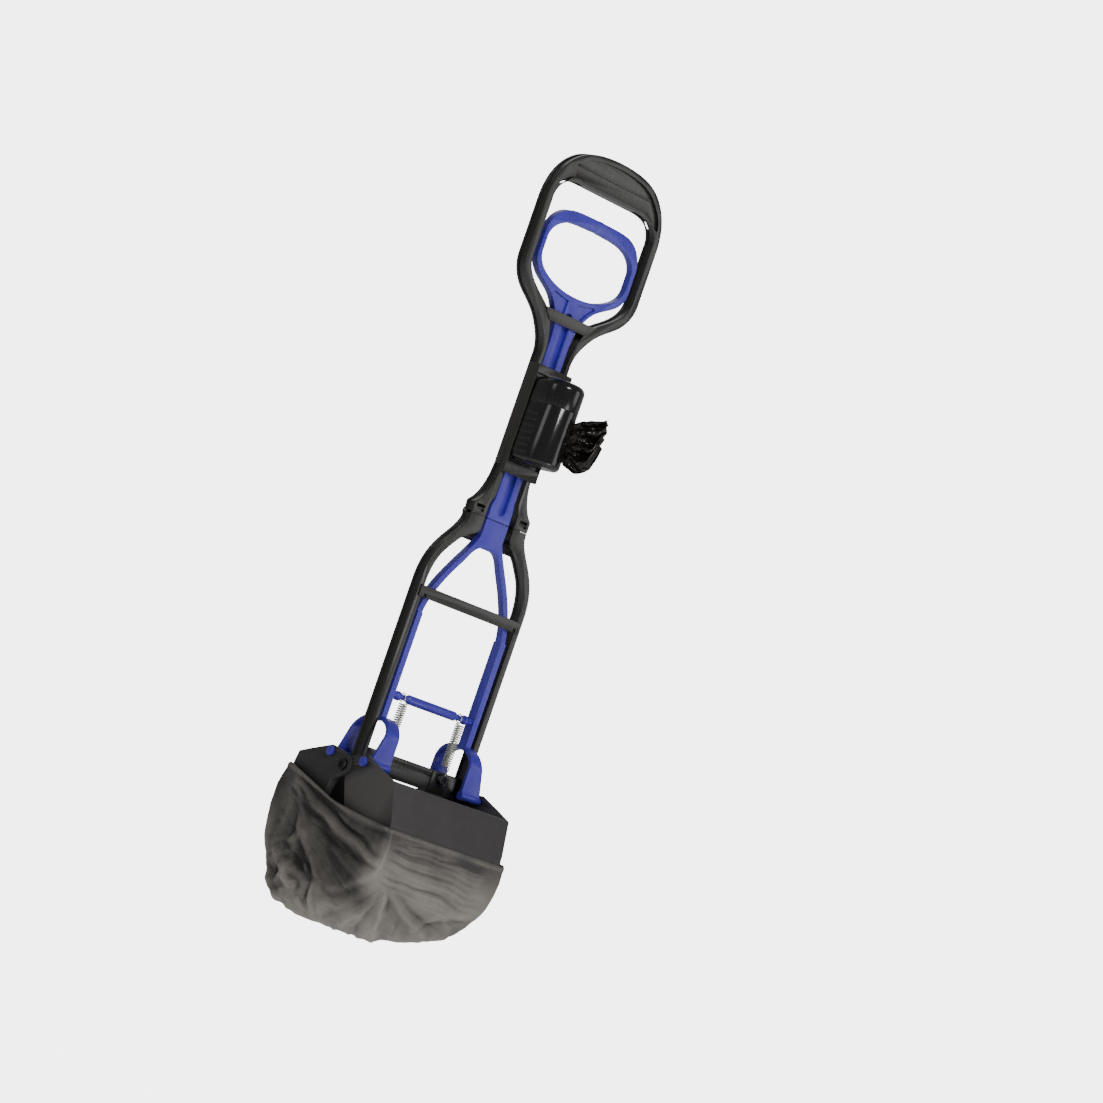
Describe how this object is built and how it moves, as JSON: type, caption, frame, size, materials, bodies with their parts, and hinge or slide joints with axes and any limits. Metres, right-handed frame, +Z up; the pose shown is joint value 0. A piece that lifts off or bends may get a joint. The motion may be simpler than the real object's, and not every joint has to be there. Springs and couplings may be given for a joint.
{
  "type": "pooper scooper",
  "caption": "Foldable jaw scooper: a ring under the D grip pulls a rod and a yoke that open two sprung bucket jaws; a bag roll canister sits on the shaft.",
  "frame": {"origin": "centre of the underside of the grip, where the fingers' heel bears and the scooper hangs", "axes": "+Z up along the shaft, +X along the jaws' axle, -Y to the side of the bag dispenser"},
  "size_m": [0.1532, 0.1692, 0.7355],
  "materials": {
    "black_plastic": "semi-gloss black moulding",
    "canister_plastic": "glossy black moulding",
    "blue_plastic": "slightly translucent royal blue moulding",
    "jaw_plastic": "matte dark grey moulding",
    "steel": "plated steel",
    "dark_steel": "blackened steel",
    "spring_steel": "bright spring wire",
    "bag_film": "thin translucent grey film",
    "roll_film": "thin black film",
    "card_core": "plain card"
  },
  "bodies": {
    "upper_frame": {"upper_frame": "black_plastic", "fold_hinge_pins": "steel", "dispenser_bracket": "black_plastic", "dispenser_body": "canister_plastic", "bag_tail": "roll_film"},
    "dispenser_cap": {"dispenser_cap": "canister_plastic"},
    "bag_roll": {"bag_roll": "roll_film", "roll_core": "card_core"},
    "pull_rod": {"pull_rod": "blue_plastic", "hinge_pin_middle": "steel"},
    "lower_frame": {"lower_frame": "black_plastic", "seam_pins": "steel", "leg_crossbar": "black_plastic", "spring_anchor_left": "black_plastic", "spring_anchor_right": "black_plastic", "anchor_screws": "steel", "spring_left": "spring_steel", "spring_right": "spring_steel", "jaw_pivot_screws": "dark_steel", "jaw_pivot_nuts": "steel", "bag_middle": "bag_film"},
    "yoke": {"yoke": "blue_plastic", "hinge_pin_ends": "steel", "link_pins": "blue_plastic"},
    "front_jaw": {"front_jaw": "jaw_plastic", "bag_front": "bag_film"},
    "rear_jaw": {"rear_jaw": "jaw_plastic", "bag_rear": "bag_film"}
  },
  "joints": [
    {"name": "pull", "type": "slide", "parent": "upper_frame", "child": "pull_rod", "axis": [0, 0, 1], "range_m": [-0.0099, 0.003], "stiffness_N_per_m": 3000, "springref_m": 0.0013},
    {"name": "fold", "type": "hinge", "parent": "upper_frame", "child": "lower_frame", "pos_m": [0, 0.0085, -0.3095], "axis": [1, 0, 0], "range_deg": [0, 150]},
    {"name": "yoke_lift", "type": "slide", "parent": "lower_frame", "child": "yoke", "axis": [0, 0, 1], "range_m": [-0.0099, 0.003], "deforming": ["spring_left", "spring_right"]},
    {"name": "front_jaw_open", "type": "hinge", "parent": "lower_frame", "child": "front_jaw", "pos_m": [0, 0, -0.56], "axis": [1, 0, 0], "range_deg": [-6.9, 22.6], "deforming": ["bag_middle"]},
    {"name": "rear_jaw_open", "type": "hinge", "parent": "lower_frame", "child": "rear_jaw", "pos_m": [0, 0, -0.56], "axis": [1, 0, 0], "range_deg": [-22.6, 6.9]},
    {"name": "cap_lift", "type": "slide", "parent": "upper_frame", "child": "dispenser_cap", "axis": [0, 0, 1], "range_m": [0, 0.02]},
    {"name": "roll_spin", "type": "hinge", "parent": "upper_frame", "child": "bag_roll", "pos_m": [0, -0.031, -0.23], "axis": [0, 0, 1], "continuous": true}
  ],
  "couplings": [
    {"joint": "yoke_lift", "follows": "pull", "ratio": 1},
    {"joint": "front_jaw_open", "follows": "pull", "rad_per_m": -39.67},
    {"joint": "rear_jaw_open", "follows": "pull", "rad_per_m": 39.67}
  ]
}
